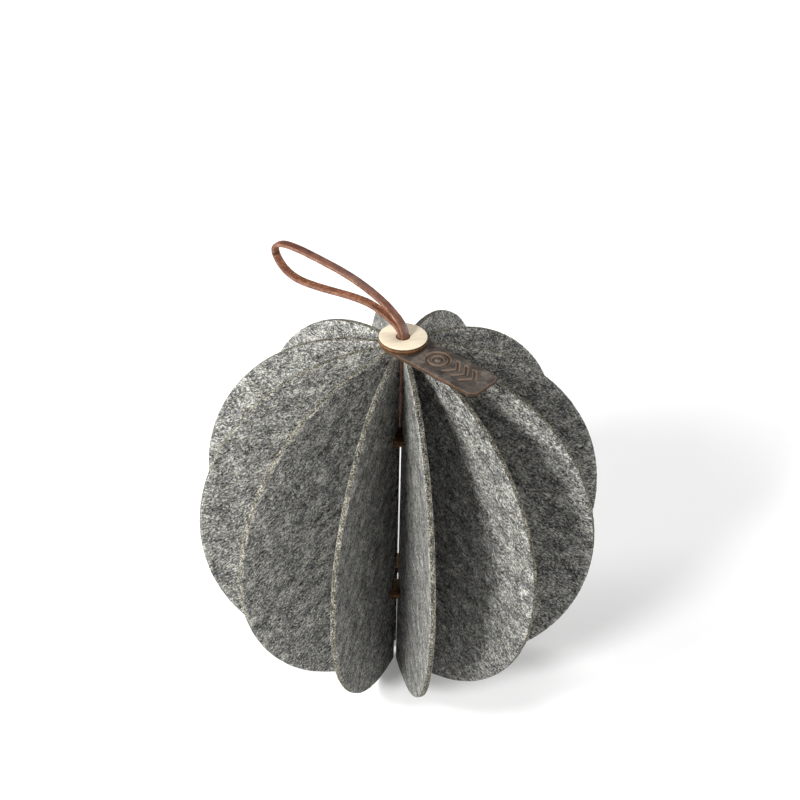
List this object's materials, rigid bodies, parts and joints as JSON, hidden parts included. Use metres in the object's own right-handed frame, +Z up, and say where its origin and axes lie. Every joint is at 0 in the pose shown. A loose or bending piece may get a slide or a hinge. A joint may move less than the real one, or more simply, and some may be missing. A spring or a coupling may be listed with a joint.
{
  "type": "felt fin ball",
  "caption": "Round hanging ball of upright half-disc felt fins slotted into two plywood core discs, with a washer, tag and lace loop on top.",
  "frame": {"origin": "on the surface the ball stands on, under its vertical axis", "axes": "+Z up along the axis through the core discs and washer; -Y is the front, through the gap between fin_12 and fin_01"},
  "size_m": [0.194, 0.194, 0.2172],
  "materials": {
    "felt": "heathered grey wool felt, matt, cut edges",
    "birch_ply": "pale birch plywood, laser-browned edge",
    "core_ply": "birch plywood, laser-browned",
    "lace_leather": "red-brown leather, smooth grain outside, suede inside",
    "tag_leather": "taupe leather, pressed pattern, lighter cut edge"
  },
  "bodies": {
    "ball": {"fin_01": "felt", "fin_02": "felt", "fin_03": "felt", "fin_04": "felt", "fin_05": "felt", "fin_06": "felt", "fin_07": "felt", "fin_08": "felt", "fin_09": "felt", "fin_10": "felt", "fin_11": "felt", "fin_12": "felt", "core_disc_upper": "core_ply", "core_disc_lower": "core_ply", "lace_leg_outer": "lace_leather", "lace_leg_inner": "lace_leather", "lace_knot": "lace_leather"},
    "washer": {"top_washer": "birch_ply"},
    "tag": {"leather_tag": "tag_leather"},
    "loop": {"lace_loop": "lace_leather"}
  },
  "joints": [
    {"name": "washer_spin", "type": "hinge", "parent": "ball", "child": "washer", "pos_m": [0, 0, 0.1901], "axis": [0, 0, 1], "continuous": true},
    {"name": "tag_swivel", "type": "hinge", "parent": "ball", "child": "tag", "pos_m": [0, 0, 0.1873], "axis": [0, 0, 1], "continuous": true},
    {"name": "loop_swing", "type": "hinge", "parent": "ball", "child": "loop", "pos_m": [-0.0017, 0.00106, 0.2], "axis": [0.5299, 0.848, 0], "range_deg": [-8, 85], "stiffness_Nm_per_rad": 0.02}
  ]
}
